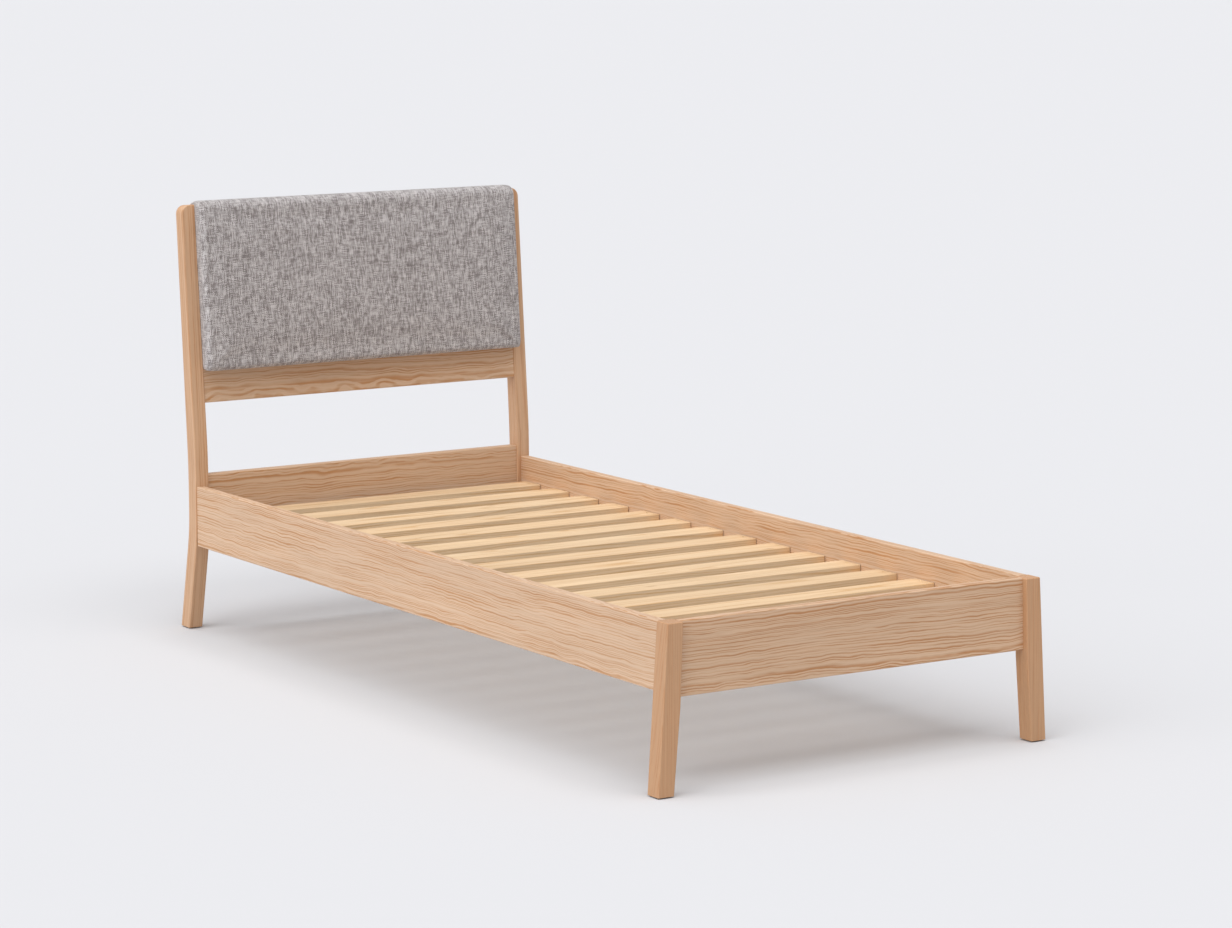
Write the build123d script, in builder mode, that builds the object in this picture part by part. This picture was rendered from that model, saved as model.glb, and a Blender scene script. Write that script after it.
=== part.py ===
from build123d import *
from math import atan, cos, sin
import os

# A single bed frame in solid oak with an upholstered headboard.
# The part's frame: +Z up, X across the bed, Y along it with the head end at +Y.
# The origin is on the floor, under the middle of the whole bed. All sizes are in millimetres.

# The mattress that the frame is made for
mattress_width = 900
mattress_length = 2000
side_gap = 6                # from the mattress to each side rail
end_gap = 45                # what the side rails are longer than the mattress

# Rails
rail_thickness = 22
side_rail_bottom = 214
rail_top = 362              # the side rails, the foot rail and the foot legs share this height
foot_rail_bottom = 204
foot_rail_setback = 14      # behind the front faces of the foot legs
head_rail_top = 390
head_rail_height = 158
head_rail_thickness = 26
head_rail_setback = 5
side_rail_setback = 3       # behind the outer faces of the posts
rail_easing = 2.5           # rounding of the long edges

# Foot legs, splayed outwards
leg_depth = 42
leg_top_width = 38
leg_rail_width = 43         # where the inner face bends, just under the foot rail
leg_foot_width = 39
leg_splay = 22.5            # of the outer face, from the top down to the floor
leg_bend_height = 190
leg_bend_radius = 500

# Head posts: upright beside the rails, raked back above and kicked back below
post_width = 36
post_depth = 40
post_top_depth = 34
post_corner_radius = 22     # outer top corner
kick_slope = 0.206
front_kick_height = 227
back_kick_height = 250
rake_slope = 0.084
front_rake_height = 430
back_rake_height = 411
post_rake_length = 623      # along the front face, above the bend
kick_radius = 450
rake_radius = 1400
post_easing = 2.5

# Headboard, measured along the raked front faces of the posts
lower_rail_span = (137, 237)
top_rail_span = (560, 625)
headboard_rail_depths = (-25, -3)
panel_depths = (-3, 9)
panel_span = (217, 627)
panel_half_width = 442
pad_front = 42              # how far the pad stands in front of the posts
pad_span = (215, 632)
pad_half_width = 449
pad_back_half_width = 443.8
pad_back = -28
pad_top_radius = 26          # the long roll over the top of the pad
pad_edge_radius = 12
pad_corner_radius = 9
cover_thickness = 2
cover_flap = 556            # lower edge of the cover's flap behind the top rail
lining_thickness = 1
lining_gap = 1              # from the lining to the headboard rails
dowel_radius = 5
dowel_length = 40
dowel_in_post = 18
dowel_inset = 18            # from a rail's edges to the middles of its dowels

# Joints between rails and posts
tenon_length = 18
tenon_thickness = 10
tenon_margin = 24           # from the rail's edges to the tenon's
foot_tenon_setback = 4      # from the rail's front face to the tenon's
head_tenon_setback = 8
foot_tenon_slope = 2        # extra length, because the leg's inner face slopes away
mortise_lead = 5            # how far the mortise's cutter starts before the leg

# Bed hooks that hold the side rails
plate_width = 14
hook_plate_height = 110
hook_plate_thickness = 2.5
strike_plate_height = 132
strike_plate_thickness = 2
hook_spacing = 60
hook_thickness = 3
hook_reach = 9
hook_arm_height = 12
hook_lip_height = 8
hook_lip_gap = 3            # from the plate to the hook's lip
slot_width = 4
slot_height = 22
pocket_depth = 11
pocket_side_room = 0.5      # beyond the slot, on each side
pocket_end_room = 2         # above the slot, and below the hook's lip
hook_screw_spacing = 46
strike_screw_spacing = 58

# Slats and the cleats that they rest on
slat_count = 15
slat_width = 70
slat_thickness = 18
slat_top = 300
slat_end_gap = 2
first_slat = 97             # middle of the first slat, from the front of the foot legs
last_slat = 60              # middle of the last slat, from the head posts
cleat_width = 28
cleat_height = 30
cleat_end_gap = 10
cleat_chamfer = 2
slat_easing = 2
cleat_screws_every = 2      # one screw in every second gap between slats

# Feet
glide_thickness = 3
glide_radius = 13
glide_pin_radius = 1.5
glide_pin_length = 14
glide_chamfer = 0.6

# Screws: shank radius, head radius and length
rail_screw = (2.0, 4.0, 32)
strike_screw = (1.75, 3.5, 20)
cleat_screw = (2.2, 4.4, 42)
slat_screw = (1.9, 3.8, 36)
panel_screw = (2.0, 4.0, 30)

# Places that follow from the sizes above
well_x = mattress_width / 2 + side_gap
rail_outer_x = well_x + rail_thickness
rail_middle_x = (well_x + rail_outer_x) / 2
post_outer_x = rail_outer_x + side_rail_setback
post_inner_x = post_outer_x - post_width
rail_length = mattress_length + end_gap
kick_reach = post_depth + kick_slope * (back_kick_height - glide_thickness)
bed_length = leg_depth + rail_length + kick_reach
foot_face_y = -bed_length / 2
foot_joint_y = foot_face_y + leg_depth
head_face_y = foot_joint_y + rail_length
rail_middle_z = (side_rail_bottom + rail_top) / 2

os.makedirs("parts", exist_ok=True)


def finish(piece, name):
    """Label a finished sub-part and write it."""
    piece.part.label = name
    export_step(piece.part, f"parts/{name}.step")


def block(x_span, y_span, z_span, mode=Mode.ADD):
    """A box between pairs of coordinates, in the sub-part being built."""
    spans = (x_span, y_span, z_span)
    with Locations(tuple(sum(span) / 2 for span in spans)):
        Box(*[abs(span[1] - span[0]) for span in spans], mode=mode)


def screws(seats, size, mode=Mode.ADD):
    """Countersunk screws, or their holes. A seat's +Z points out of the screw's head."""
    shank_radius, head_radius, length = size
    head_height = head_radius - shank_radius
    with Locations(*seats):
        Cylinder(shank_radius, length, align=(Align.CENTER, Align.CENTER, Align.MAX), mode=mode)
        Cone(shank_radius, head_radius, head_height,
             align=(Align.CENTER, Align.CENTER, Align.MAX), mode=mode)


def on_right(side):
    """+1 for the right-hand side of the bed and -1 for the left."""
    return 1 if side == "right" else -1


def across(sign, x, y, z):
    """A seat on a face that looks across the bed, away from the side rail."""
    return Plane(origin=(sign * x, y, z), x_dir=(0, 1, 0), z_dir=(-sign, 0, 0))


def along(y, direction, x, z):
    """A seat on a face that looks along the bed."""
    return Plane(origin=(x, y, z), x_dir=(1, 0, 0), z_dir=(0, direction, 0))


# The four corners where a side rail meets a leg or post: side, joint plane, way to the rail's middle
corners = {
    f"{end}_{side}": (on_right(side), y, way)
    for end, y, way in (("foot", foot_joint_y, 1), ("head", head_face_y, -1))
    for side in ("left", "right")
}
hook_heights = [rail_middle_z - hook_spacing / 2, rail_middle_z + hook_spacing / 2]
slot_bottoms = [height - hook_arm_height / 3 for height in hook_heights]


def hook_screw_seats(corner):
    """The screws that go into the end grain of the side rail."""
    sign, y, way = corners[corner]
    heights = [rail_middle_z + k * hook_screw_spacing for k in (-1, 0, 1)]
    return [along(y, -way, sign * rail_middle_x, z) for z in heights]


def strike_screw_seats(corner):
    """The screws that go into the leg or post."""
    sign, y, way = corners[corner]
    heights = [rail_middle_z + k * strike_screw_spacing for k in (-1, 0, 1)]
    return [along(y, way, sign * rail_middle_x, z) for z in heights]


def cut_strike_seat(corner):
    """The shallow seat for the strike plate, with the pockets for the hooks behind it."""
    sign, y, way = corners[corner]
    middle = sign * rail_middle_x
    half_plate = plate_width / 2
    block((middle - half_plate, middle + half_plate), (y, y - way * strike_plate_thickness),
          (rail_middle_z - strike_plate_height / 2, rail_middle_z + strike_plate_height / 2),
          mode=Mode.SUBTRACT)
    for bottom in slot_bottoms:
        half_pocket = slot_width / 2 + pocket_side_room
        block((middle - half_pocket, middle + half_pocket), (y, y - way * pocket_depth),
              (bottom - hook_lip_height - pocket_end_room, bottom + slot_height + pocket_end_room),
              mode=Mode.SUBTRACT)
    screws(strike_screw_seats(corner), strike_screw, Mode.SUBTRACT)


# ---- Side rails ----

slat_step = (rail_length + leg_depth - first_slat - last_slat) / (slat_count - 1)
slat_ys = [foot_face_y + first_slat + k * slat_step for k in range(slat_count)]
cleat_top = slat_top - slat_thickness
cleat_middle_z = cleat_top - cleat_height / 2
cleat_ys = (foot_joint_y + cleat_end_gap, head_face_y - cleat_end_gap)
cleat_inner_x = well_x - cleat_width
cleat_screw_ys = [y + slat_step / 2 for y in slat_ys[:-1:cleat_screws_every]]
slat_screw_x = well_x - cleat_width / 2


def cleat_screw_seats(side):
    return [across(on_right(side), cleat_inner_x, y, cleat_middle_z) for y in cleat_screw_ys]


def slat_screw_seats(side):
    x = on_right(side) * slat_screw_x
    return [Plane(origin=(x, y, slat_top), z_dir=(0, 0, 1)) for y in slat_ys]


for side in ("left", "right"):
    sign = on_right(side)
    with BuildPart() as side_rail:
        block((sign * well_x, sign * rail_outer_x), (foot_joint_y, head_face_y),
              (side_rail_bottom, rail_top))
        fillet(side_rail.edges().filter_by(Axis.Y), rail_easing)
        for corner in (f"foot_{side}", f"head_{side}"):
            y, way = corners[corner][1:]
            block((sign * rail_middle_x - plate_width / 2, sign * rail_middle_x + plate_width / 2),
                  (y, y + way * hook_plate_thickness),
                  (rail_middle_z - hook_plate_height / 2, rail_middle_z + hook_plate_height / 2),
                  mode=Mode.SUBTRACT)
            screws(hook_screw_seats(corner), rail_screw, Mode.SUBTRACT)
        screws(cleat_screw_seats(side), cleat_screw, Mode.SUBTRACT)
    finish(side_rail, f"side_rail_{side}")

    with BuildPart() as cleat:
        block((sign * cleat_inner_x, sign * well_x), cleat_ys, (cleat_top - cleat_height, cleat_top))
        chamfer(cleat.edges().filter_by(Axis.Y).sort_by(Axis.X)[::sign][:2], cleat_chamfer)
        screws(cleat_screw_seats(side), cleat_screw, Mode.SUBTRACT)
        screws(slat_screw_seats(side), slat_screw, Mode.SUBTRACT)
    finish(cleat, f"slat_cleat_{side}")

# ---- Slats ----

for number, slat_y in enumerate(slat_ys, start=1):
    with BuildPart() as slat:
        block((slat_end_gap - well_x, well_x - slat_end_gap),
              (slat_y - slat_width / 2, slat_y + slat_width / 2), (cleat_top, slat_top))
        fillet(slat.edges().filter_by(Axis.X), slat_easing)
        with Locations((-slat_screw_x, slat_y, slat_top), (slat_screw_x, slat_y, slat_top)):
            CounterSinkHole(slat_screw[0], slat_screw[1])
    finish(slat, f"slat_{number:02d}")

# ---- Bed hooks ----

for corner, (sign, y, way) in corners.items():
    middle = sign * rail_middle_x
    with BuildPart() as hook_plate:
        block((middle - plate_width / 2, middle + plate_width / 2), (y, y + way * hook_plate_thickness),
              (rail_middle_z - hook_plate_height / 2, rail_middle_z + hook_plate_height / 2))
        for bottom in slot_bottoms:
            hook_x = (middle - hook_thickness / 2, middle + hook_thickness / 2)
            block(hook_x, (y, y - way * hook_reach), (bottom, bottom + hook_arm_height))
            block(hook_x, (y - way * hook_lip_gap, y - way * hook_reach),
                  (bottom - hook_lip_height, bottom))
        screws(hook_screw_seats(corner), rail_screw, Mode.SUBTRACT)
    finish(hook_plate, f"hook_plate_{corner}")

    with BuildPart() as strike_plate:
        block((middle - plate_width / 2, middle + plate_width / 2),
              (y, y - way * strike_plate_thickness),
              (rail_middle_z - strike_plate_height / 2, rail_middle_z + strike_plate_height / 2))
        for bottom in slot_bottoms:
            block((middle - slot_width / 2, middle + slot_width / 2),
                  (y, y - way * strike_plate_thickness),
                  (bottom, bottom + slot_height), mode=Mode.SUBTRACT)
        screws(strike_screw_seats(corner), strike_screw, Mode.SUBTRACT)
    finish(strike_plate, f"strike_plate_{corner}")

# ---- Foot end ----

leg_top_inner = post_outer_x - leg_top_width


def leg_outer_x(height):
    """The outer face of a foot leg is one straight slope."""
    return post_outer_x + leg_splay * (rail_top - height) / rail_top


leg_bend_x = leg_outer_x(leg_bend_height) - leg_rail_width
leg_foot_inner = leg_outer_x(glide_thickness) - leg_foot_width
leg_inner_slope = (leg_bend_x - leg_top_inner) / (rail_top - leg_bend_height)
foot_rail_ys = (foot_face_y + foot_rail_setback, foot_face_y + foot_rail_setback + rail_thickness)
foot_tenon_front = foot_rail_ys[0] + foot_tenon_setback
foot_tenon_ys = (foot_tenon_front, foot_tenon_front + tenon_thickness)
foot_tenon_zs = (foot_rail_bottom + tenon_margin, rail_top - tenon_margin)
foot_tenon_x = leg_top_inner + tenon_length + foot_tenon_slope

with BuildPart() as foot_leg_left:
    with BuildSketch(Plane.XZ.offset(-foot_joint_y)):
        with BuildLine():
            inner = FilletPolyline((-leg_top_inner, rail_top), (-leg_bend_x, leg_bend_height),
                                   (-leg_foot_inner, glide_thickness), radius=leg_bend_radius)
            outer = Line((-post_outer_x, rail_top), (-leg_outer_x(glide_thickness), glide_thickness))
            Line(inner @ 0, outer @ 0)
            Line(inner @ 1, outer @ 1)
        make_face()
    extrude(amount=leg_depth)
    floor_face = foot_leg_left.faces().sort_by(Axis.Z)[0]
    fillet(foot_leg_left.edges() - floor_face.edges(), rail_easing)
    block((mortise_lead - leg_top_inner, -foot_tenon_x), foot_tenon_ys, foot_tenon_zs,
          mode=Mode.SUBTRACT)
    cut_strike_seat("foot_left")
    foot_middle_x = leg_outer_x(glide_thickness) - leg_foot_width / 2
    with Locations((-foot_middle_x, foot_face_y + leg_depth / 2, glide_thickness)):
        Cylinder(glide_pin_radius, glide_pin_length,
                 align=(Align.CENTER, Align.CENTER, Align.MIN), mode=Mode.SUBTRACT)
finish(foot_leg_left, "foot_leg_left")

with BuildPart() as foot_leg_right:
    mirror(foot_leg_left.part, about=Plane.YZ)
finish(foot_leg_right, "foot_leg_right")

foot_rail_bottom_x = leg_top_inner + leg_inner_slope * (rail_top - foot_rail_bottom)
with BuildPart() as foot_rail:
    with BuildSketch(Plane.XZ.offset(-foot_rail_ys[1])):
        Polygon((-leg_top_inner, rail_top), (leg_top_inner, rail_top),
                (foot_rail_bottom_x, foot_rail_bottom), (-foot_rail_bottom_x, foot_rail_bottom),
                align=None)
    extrude(amount=rail_thickness)
    fillet(foot_rail.edges().filter_by(Axis.X), rail_easing)
    block((-foot_tenon_x, foot_tenon_x), foot_tenon_ys, foot_tenon_zs)
finish(foot_rail, "foot_rail")

# ---- Head posts ----

rake = atan(rake_slope)
headboard = Plane(origin=(0, head_face_y, front_rake_height), x_dir=(1, 0, 0),
                  z_dir=(0, -cos(rake), sin(rake)))
top_front = (head_face_y + post_rake_length * sin(rake), front_rake_height + post_rake_length * cos(rake))
top_back = (top_front[0] + post_top_depth * cos(rake), top_front[1] - post_top_depth * sin(rake))
heel_front = head_face_y + kick_slope * (front_kick_height - glide_thickness)
heel_back = head_face_y + kick_reach

head_rail_ys = (head_face_y + head_rail_setback, head_face_y + head_rail_setback + head_rail_thickness)
head_rail_zs = (head_rail_top - head_rail_height, head_rail_top)
head_tenon_front = head_rail_ys[0] + head_tenon_setback
head_tenon_ys = (head_tenon_front, head_tenon_front + tenon_thickness)
head_tenon_zs = (head_rail_zs[0] + tenon_margin, head_rail_zs[1] - tenon_margin)
head_tenon_x = post_inner_x + tenon_length

rail_middle_depth = sum(headboard_rail_depths) / 2
dowel_heights = [height for span in (lower_rail_span, top_rail_span)
                 for height in (span[0] + dowel_inset, span[1] - dowel_inset)]


def dowel_seats(sign):
    """Middles of the dowels on one side, turned so that their +Z runs across the bed."""
    middle_x = post_inner_x + dowel_in_post - dowel_length / 2
    places = [headboard.from_local_coords((sign * middle_x, height, rail_middle_depth))
              for height in dowel_heights]
    return [Plane(origin=place, x_dir=(0, 1, 0), z_dir=(1, 0, 0)) for place in places]


with BuildPart() as head_post_left:
    with BuildSketch(Plane.YZ.offset(-post_outer_x)):
        with BuildLine():
            front = FilletPolyline((heel_front, glide_thickness), (head_face_y, front_kick_height),
                                   (head_face_y, front_rake_height), top_front,
                                   radius=(kick_radius, rake_radius))
            back = FilletPolyline((heel_back, glide_thickness),
                                  (head_face_y + post_depth, back_kick_height),
                                  (head_face_y + post_depth, back_rake_height), top_back,
                                  radius=(kick_radius, rake_radius))
            Line(front @ 0, back @ 0)
            Line(front @ 1, back @ 1)
        make_face()
    extrude(amount=post_width)
    top_face = head_post_left.faces().sort_by(Axis.Z)[-1]
    fillet(top_face.edges().sort_by(Axis.X)[0], post_corner_radius)
    floor_face = head_post_left.faces().sort_by(Axis.Z)[0]
    corner_face = head_post_left.faces().filter_by(GeomType.CYLINDER).sort_by(Axis.Z)[-1]
    seams = head_post_left.edges().filter_by(Axis.X) + corner_face.edges().filter_by(GeomType.LINE)
    fillet(head_post_left.edges() - floor_face.edges() - seams, post_easing)
    block((-post_inner_x, -head_tenon_x), head_tenon_ys, head_tenon_zs, mode=Mode.SUBTRACT)
    with Locations(*dowel_seats(-1)):
        Cylinder(dowel_radius, dowel_length, mode=Mode.SUBTRACT)
    cut_strike_seat("head_left")
    heel_middle_y = (heel_front + heel_back) / 2
    post_middle_x = post_outer_x - post_width / 2
    with Locations((-post_middle_x, heel_middle_y, glide_thickness)):
        Cylinder(glide_pin_radius, glide_pin_length,
                 align=(Align.CENTER, Align.CENTER, Align.MIN), mode=Mode.SUBTRACT)
finish(head_post_left, "head_post_left")

with BuildPart() as head_post_right:
    mirror(head_post_left.part, about=Plane.YZ)
finish(head_post_right, "head_post_right")

with BuildPart() as head_rail:
    block((-post_inner_x, post_inner_x), head_rail_ys, head_rail_zs)
    fillet(head_rail.edges().filter_by(Axis.X), rail_easing)
    block((-head_tenon_x, head_tenon_x), head_tenon_ys, head_tenon_zs)
finish(head_rail, "head_rail")

# ---- Headboard ----

panel_screw_xs = (-380, -130, 130, 380)
panel_screw_inset = 10       # from the panel's lower edge
panel_screw_heights = (panel_span[0] + panel_screw_inset, sum(top_rail_span) / 2)


def panel_screw_seats():
    """Heads on the back faces of the two headboard rails, shanks forward into the panel."""
    places = [headboard.from_local_coords((x, height, headboard_rail_depths[0]))
              for x in panel_screw_xs for height in panel_screw_heights]
    return [Plane(origin=place, x_dir=(1, 0, 0), z_dir=-headboard.z_dir) for place in places]


def slab(half_width, span, depths, mode=Mode.ADD):
    """A board parallel to the raked headboard, in the sub-part being built."""
    middle = headboard.from_local_coords((0, sum(span) / 2, sum(depths) / 2))
    with Locations(Plane(origin=middle, x_dir=headboard.x_dir, z_dir=headboard.z_dir)):
        Box(2 * half_width, span[1] - span[0], abs(depths[1] - depths[0]), mode=mode)


for name, span in (("headboard_lower_rail", lower_rail_span), ("headboard_top_rail", top_rail_span)):
    with BuildPart() as headboard_rail:
        slab(post_inner_x, span, headboard_rail_depths)
        fillet(headboard_rail.edges().filter_by(Axis.X), rail_easing)
        with Locations(*dowel_seats(-1), *dowel_seats(1)):
            Cylinder(dowel_radius, dowel_length, mode=Mode.SUBTRACT)
        screws(panel_screw_seats(), panel_screw, Mode.SUBTRACT)
    finish(headboard_rail, name)

with BuildPart() as headboard_panel:
    slab(panel_half_width, panel_span, panel_depths)
    screws(panel_screw_seats(), panel_screw, Mode.SUBTRACT)
finish(headboard_panel, "headboard_panel")

foam_front = pad_front - cover_thickness
foam_span = (pad_span[0] + cover_thickness, pad_span[1] - cover_thickness)
foam_half_width = pad_half_width - cover_thickness
forwards = Axis((0, 0, 0), headboard.z_dir)
upwards = Axis((0, 0, 0), headboard.y_dir)


def round_front(piece, inset):
    """Round the pad's top and its lower corners, and then the edges that run round its sides."""
    fillet(piece.faces().sort_by(forwards)[-1].edges().sort_by(upwards)[-1], pad_top_radius - inset)
    fillet(piece.edges().filter_by(forwards).group_by(upwards)[0], pad_corner_radius - inset)
    front = piece.faces().sort_by(forwards)[-1].edges()
    side_faces = piece.faces().filter_by(Axis.X)
    roll_ends = side_faces.edges().filter_by(GeomType.CIRCLE)
    top_sides = side_faces.edges().filter_by(forwards).group_by(upwards)[-1]
    fillet(front.sort_by(upwards)[:-1] + roll_ends + top_sides, pad_edge_radius - inset)


with BuildPart() as headboard_foam:
    slab(foam_half_width, foam_span, (panel_depths[1], foam_front))
    round_front(headboard_foam, cover_thickness)
finish(headboard_foam, "headboard_foam")

with BuildPart() as headboard_cover:
    slab(pad_half_width, pad_span, (panel_depths[1] - cover_thickness, pad_front))
    round_front(headboard_cover, 0)
    slab(pad_back_half_width, pad_span, (panel_depths[0], panel_depths[1]))
    slab(pad_back_half_width, (cover_flap, pad_span[1]), (pad_back, panel_depths[0]))
    add(headboard_foam.part, mode=Mode.SUBTRACT)
    slab(panel_half_width, foam_span, (panel_depths[0], panel_depths[1]), mode=Mode.SUBTRACT)
    slab(pad_half_width, (cover_flap, foam_span[1]), (pad_back + cover_thickness, panel_depths[0]),
         mode=Mode.SUBTRACT)
finish(headboard_cover, "headboard_cover")

with BuildPart() as headboard_lining:
    slab(panel_half_width, (lower_rail_span[1] + lining_gap, cover_flap - lining_gap),
         (panel_depths[0] - lining_thickness, panel_depths[0]))
finish(headboard_lining, "headboard_lining")

with BuildPart() as headboard_dowels:
    with Locations(*dowel_seats(-1), *dowel_seats(1)):
        Cylinder(dowel_radius, dowel_length)
finish(headboard_dowels, "headboard_dowels")

# ---- Screws ----

hook_seats = [seat for corner in corners for seat in hook_screw_seats(corner)]
strike_seats = [seat for corner in corners for seat in strike_screw_seats(corner)]
cleat_seats = cleat_screw_seats("left") + cleat_screw_seats("right")
slat_seats = slat_screw_seats("left") + slat_screw_seats("right")
for name, seats, size in (
    ("hook_plate_screws", hook_seats, rail_screw),
    ("strike_plate_screws", strike_seats, strike_screw),
    ("cleat_screws", cleat_seats, cleat_screw),
    ("slat_screws", slat_seats, slat_screw),
    ("panel_screws", panel_screw_seats(), panel_screw),
):
    with BuildPart() as screw_set:
        screws(seats, size)
    finish(screw_set, name)

# ---- Glides under the four feet ----

glide_places = {
    "foot": (foot_middle_x, foot_face_y + leg_depth / 2),
    "head": (post_middle_x, heel_middle_y),
}
for end, (glide_x, glide_y) in glide_places.items():
    for side in ("left", "right"):
        with BuildPart() as glide:
            with Locations((on_right(side) * glide_x, glide_y, 0)):
                Cylinder(glide_radius, glide_thickness, align=(Align.CENTER, Align.CENTER, Align.MIN))
                Cylinder(glide_pin_radius, glide_thickness + glide_pin_length,
                         align=(Align.CENTER, Align.CENTER, Align.MIN))
            chamfer(glide.edges().filter_by(GeomType.CIRCLE).sort_by(Axis.Z)[0], glide_chamfer)
        finish(glide, f"floor_glide_{end}_{side}")

print(f"bed length {bed_length:.1f}, foot face {foot_face_y:.1f}, head face {head_face_y:.1f}")
print(f"post top {top_front[1]:.1f}, pad top about {front_rake_height + pad_span[1] * cos(rake):.1f}")
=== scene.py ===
from math import cos, pi, radians, sin, tanh

import bmesh
import bpy
from mathutils import Matrix, Vector


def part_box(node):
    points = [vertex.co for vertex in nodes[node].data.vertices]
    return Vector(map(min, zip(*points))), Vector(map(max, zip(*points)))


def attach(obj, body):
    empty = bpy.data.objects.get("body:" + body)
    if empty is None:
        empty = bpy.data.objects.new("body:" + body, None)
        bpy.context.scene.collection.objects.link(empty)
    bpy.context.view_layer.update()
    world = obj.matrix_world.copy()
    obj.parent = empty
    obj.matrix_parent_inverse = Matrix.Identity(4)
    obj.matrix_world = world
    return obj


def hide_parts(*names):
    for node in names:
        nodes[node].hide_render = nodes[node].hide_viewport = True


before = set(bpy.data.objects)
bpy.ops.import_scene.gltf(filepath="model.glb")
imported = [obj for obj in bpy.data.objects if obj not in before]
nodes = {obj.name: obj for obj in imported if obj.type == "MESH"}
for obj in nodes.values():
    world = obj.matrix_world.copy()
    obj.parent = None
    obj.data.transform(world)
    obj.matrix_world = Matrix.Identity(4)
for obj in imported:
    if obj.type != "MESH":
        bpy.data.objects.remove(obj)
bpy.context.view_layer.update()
scene = bpy.context.scene


# short ways to add nodes, materials and pieces

def onceEach(items):   # each item once, in a steady order
    return list(dict.fromkeys(items))


def put(tree, kind, inputs=None, **settings):
    node = tree.nodes.new(kind)
    for name, value in settings.items():
        setattr(node, name, value)
    for name, value in (inputs or {}).items():
        socket = node.inputs[name]
        if isinstance(value, bpy.types.NodeSocket):
            tree.links.new(value, socket)
        else:
            socket.default_value = value
    return node


def sums(tree, operation, first, second=0.0, third=0.0):
    inputs = {0: first, 1: second, 2: third}
    return put(tree, "ShaderNodeMath", inputs, operation=operation).outputs[0]


def spread(tree, value, low, high, toLow=0.0, toHigh=1.0):   # a smooth step between two levels
    inputs = {"Value": value, "From Min": low, "From Max": high, "To Min": toLow, "To Max": toHigh}
    return put(tree, "ShaderNodeMapRange", inputs, interpolation_type="SMOOTHSTEP").outputs[0]


def blendColours(tree, amount, first, second, way="MIX"):
    inputs = {0: amount, 6: first, 7: second}
    return put(tree, "ShaderNodeMix", inputs, data_type="RGBA", blend_type=way).outputs[2]


def noiseOf(tree, place, detail=2.0, roughness=0.5):
    inputs = {"Vector": place, "Scale": 1.0, "Detail": detail, "Roughness": roughness}
    return put(tree, "ShaderNodeTexNoise", inputs)


def newMaterial(name):
    material = bpy.data.materials.new(name)
    material.use_nodes = True
    tree = material.node_tree
    return material, tree, tree.nodes["Principled BSDF"]


def setShader(shader, **values):
    for name, value in values.items():
        shader.inputs[name.replace("_", " ")].default_value = value


def bumpOn(tree, shader, height, strength, distance):
    inputs = {"Height": height, "Strength": strength, "Distance": distance}
    bump = put(tree, "ShaderNodeBump", inputs)
    tree.links.new(bump.outputs[0], shader.inputs["Normal"])


def paint(piece, material):
    piece.data.materials.clear()
    piece.data.materials.append(material)


def newPiece(name, bm, material, turn=None):
    mesh = bpy.data.meshes.new(name)
    bm.to_mesh(mesh)
    bm.free()
    if turn:
        mesh.transform(turn)
    mesh.shade_smooth()
    piece = bpy.data.objects.new(name, mesh)
    scene.collection.objects.link(piece)
    paint(piece, material)
    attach(piece, "root")
    return piece


# pale paper floor and backdrop, two soft lamps and the camera
stageLook = {
    "backdrop": (0.840, 0.844, 0.868),
    "floor": (0.611, 0.613, 0.629),
    "floorRadius": 90,
    "floorSides": 64,
    "skyShare": 0.60,          # how much of the backdrop's brightness lights the bed
}
lamps = {  # where each light stands, seen from the bed, its strength and how soft it is
    "overhead": {"toward": (-0.10, -0.22, 1.0), "strength": 2.15, "softness": 64},
    "left": {"toward": (-0.40, -0.05, 0.22), "strength": 1.38, "softness": 60},
}
eye = {"azimuth": -32.97, "elevation": 8.74, "distance": 9.145, "lens": 116.6, "sensor": 36,
       "target": (0.0426, -0.0889, 0.5158)}


def buildStage():
    bm = bmesh.new()
    bmesh.ops.create_circle(bm, cap_ends=True, segments=stageLook["floorSides"],
                              radius=stageLook["floorRadius"])
    mesh = bpy.data.meshes.new("floor")
    bm.to_mesh(mesh)
    bm.free()
    floor = bpy.data.objects.new("floor", mesh)
    scene.collection.objects.link(floor)
    material, _, shader = newMaterial("paperFloor")
    setShader(shader, Base_Color=(*stageLook["floor"], 1), Roughness=0.9, Specular_IOR_Level=0.0)
    paint(floor, material)


def buildLights():
    world = bpy.data.worlds.new("paleStudio")
    world.use_nodes = True
    tree = world.node_tree
    seen = put(tree, "ShaderNodeLightPath").outputs["Is Camera Ray"]
    share = sums(tree, "MULTIPLY_ADD", seen, 1 - stageLook["skyShare"], stageLook["skyShare"])
    tree.nodes["Background"].inputs["Color"].default_value = (*stageLook["backdrop"], 1)
    tree.links.new(share, tree.nodes["Background"].inputs["Strength"])
    scene.world = world
    for name, lamp in lamps.items():
        light = bpy.data.lights.new(name, "SUN")
        light.energy = lamp["strength"]
        light.angle = radians(lamp["softness"])
        holder = bpy.data.objects.new(name, light)
        holder.rotation_euler = Vector(lamp["toward"]).to_track_quat("Z", "Y").to_euler()
        scene.collection.objects.link(holder)


def buildCamera():
    turn, rise = radians(eye["azimuth"]), radians(eye["elevation"])
    back = Vector((sin(turn) * cos(rise), -cos(turn) * cos(rise), sin(rise)))
    data = bpy.data.cameras.new("camera")
    data.lens = eye["lens"]
    data.sensor_width = eye["sensor"]
    data.clip_end = 2 * stageLook["floorRadius"]
    camera = bpy.data.objects.new("camera", data)
    camera.location = Vector(eye["target"]) + back * eye["distance"]
    camera.rotation_euler = back.to_track_quat("Z", "Y").to_euler()
    scene.collection.objects.link(camera)
    scene.camera = camera


scene.view_settings.view_transform = "Standard"
buildStage()
buildLights()
buildCamera()
print("stage, lights and camera are set")


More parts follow.
